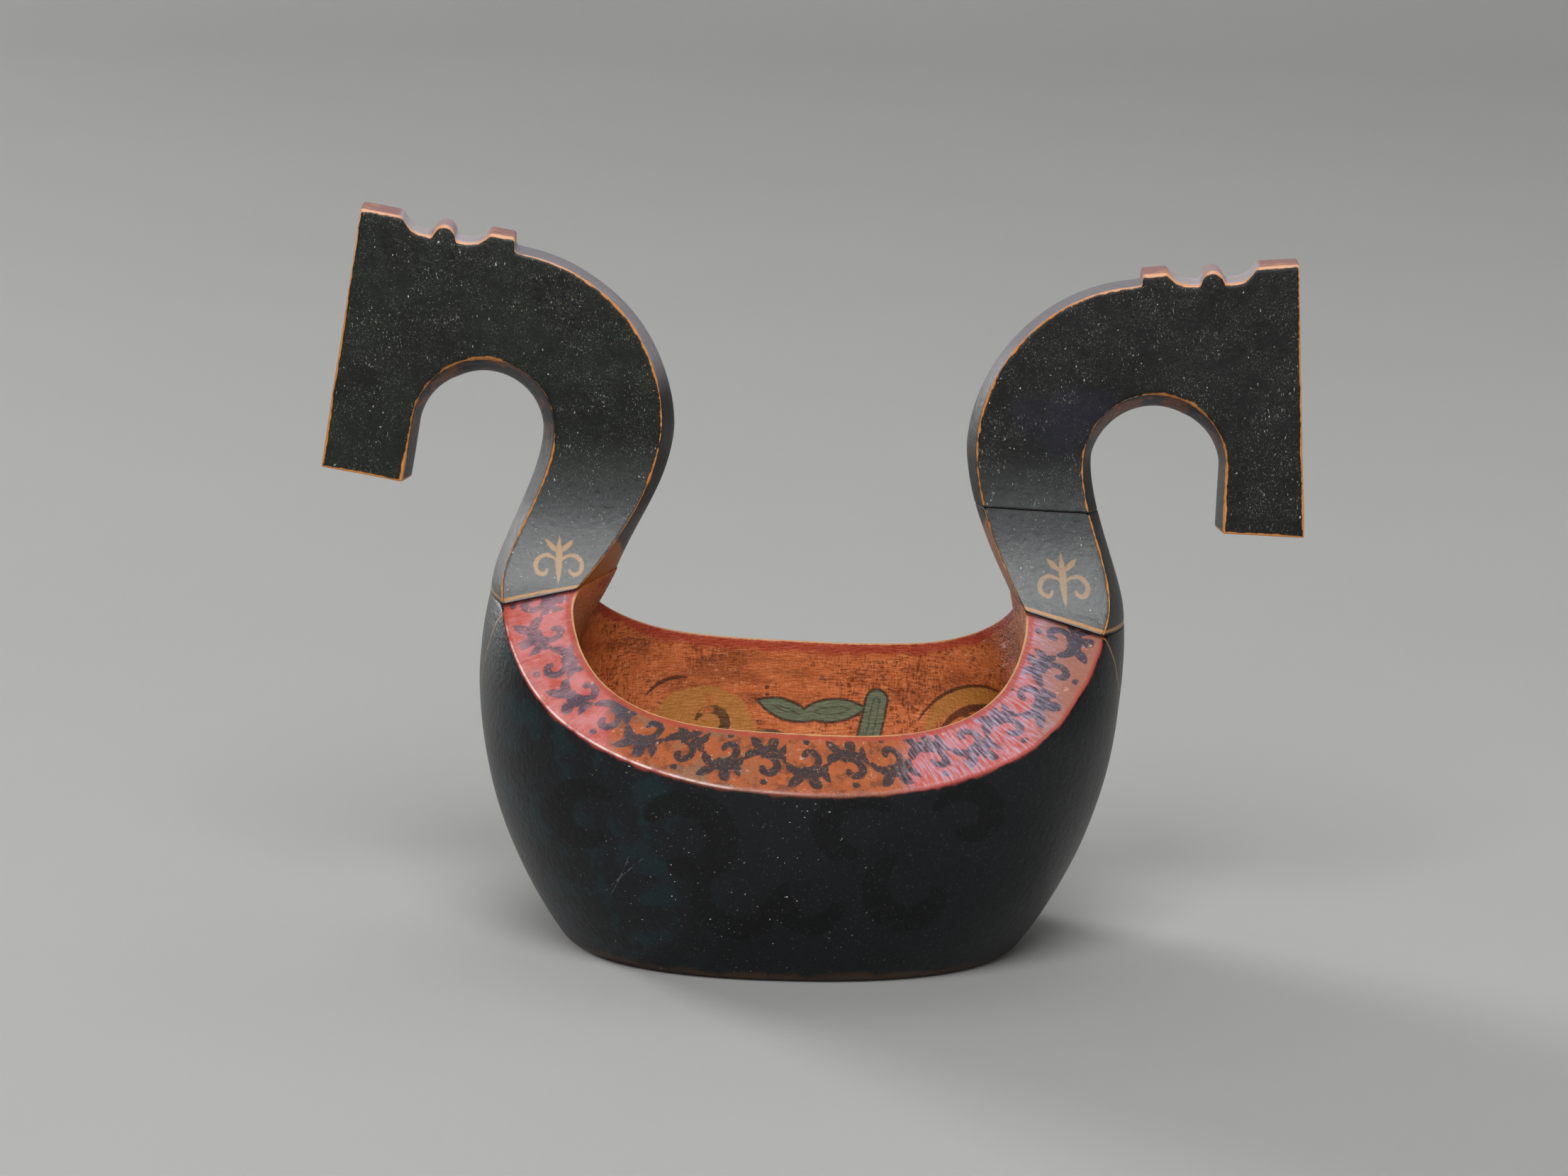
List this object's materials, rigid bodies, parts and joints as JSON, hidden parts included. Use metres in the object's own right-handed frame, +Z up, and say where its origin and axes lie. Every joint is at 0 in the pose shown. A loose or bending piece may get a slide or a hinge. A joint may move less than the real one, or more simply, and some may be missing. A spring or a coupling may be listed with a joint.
{
  "type": "ale bowl",
  "caption": "Carved and painted wooden ale bowl: hollowed oval body with a sloping rim, and S-curved horse-head handles rising from its ends.",
  "frame": {"origin": "middle of the flat foot, on the surface the bowl stands on", "axes": "+X from the left head to the right head, -Y towards the viewer of the picture, +Z up"},
  "size_m": [0.3565, 0.1712, 0.2691],
  "materials": {
    "bowl_paint": "painted near-black outside, red and orange inside, satin varnish",
    "left_handle_paint": "painted black-green, satin varnish, worn edges",
    "right_handle_paint": "painted black-green, satin varnish, worn edges",
    "right_head_paint": "painted black-green, satin varnish, worn edges",
    "bare_wood": "bare"
  },
  "bodies": {
    "root": {"bowl": "bowl_paint", "left_handle": "left_handle_paint", "right_handle": "right_handle_paint", "right_head": "right_head_paint", "left_handle_dowels": "bare_wood", "right_handle_dowels": "bare_wood", "right_head_dowel": "bare_wood"}
  },
  "joints": []
}
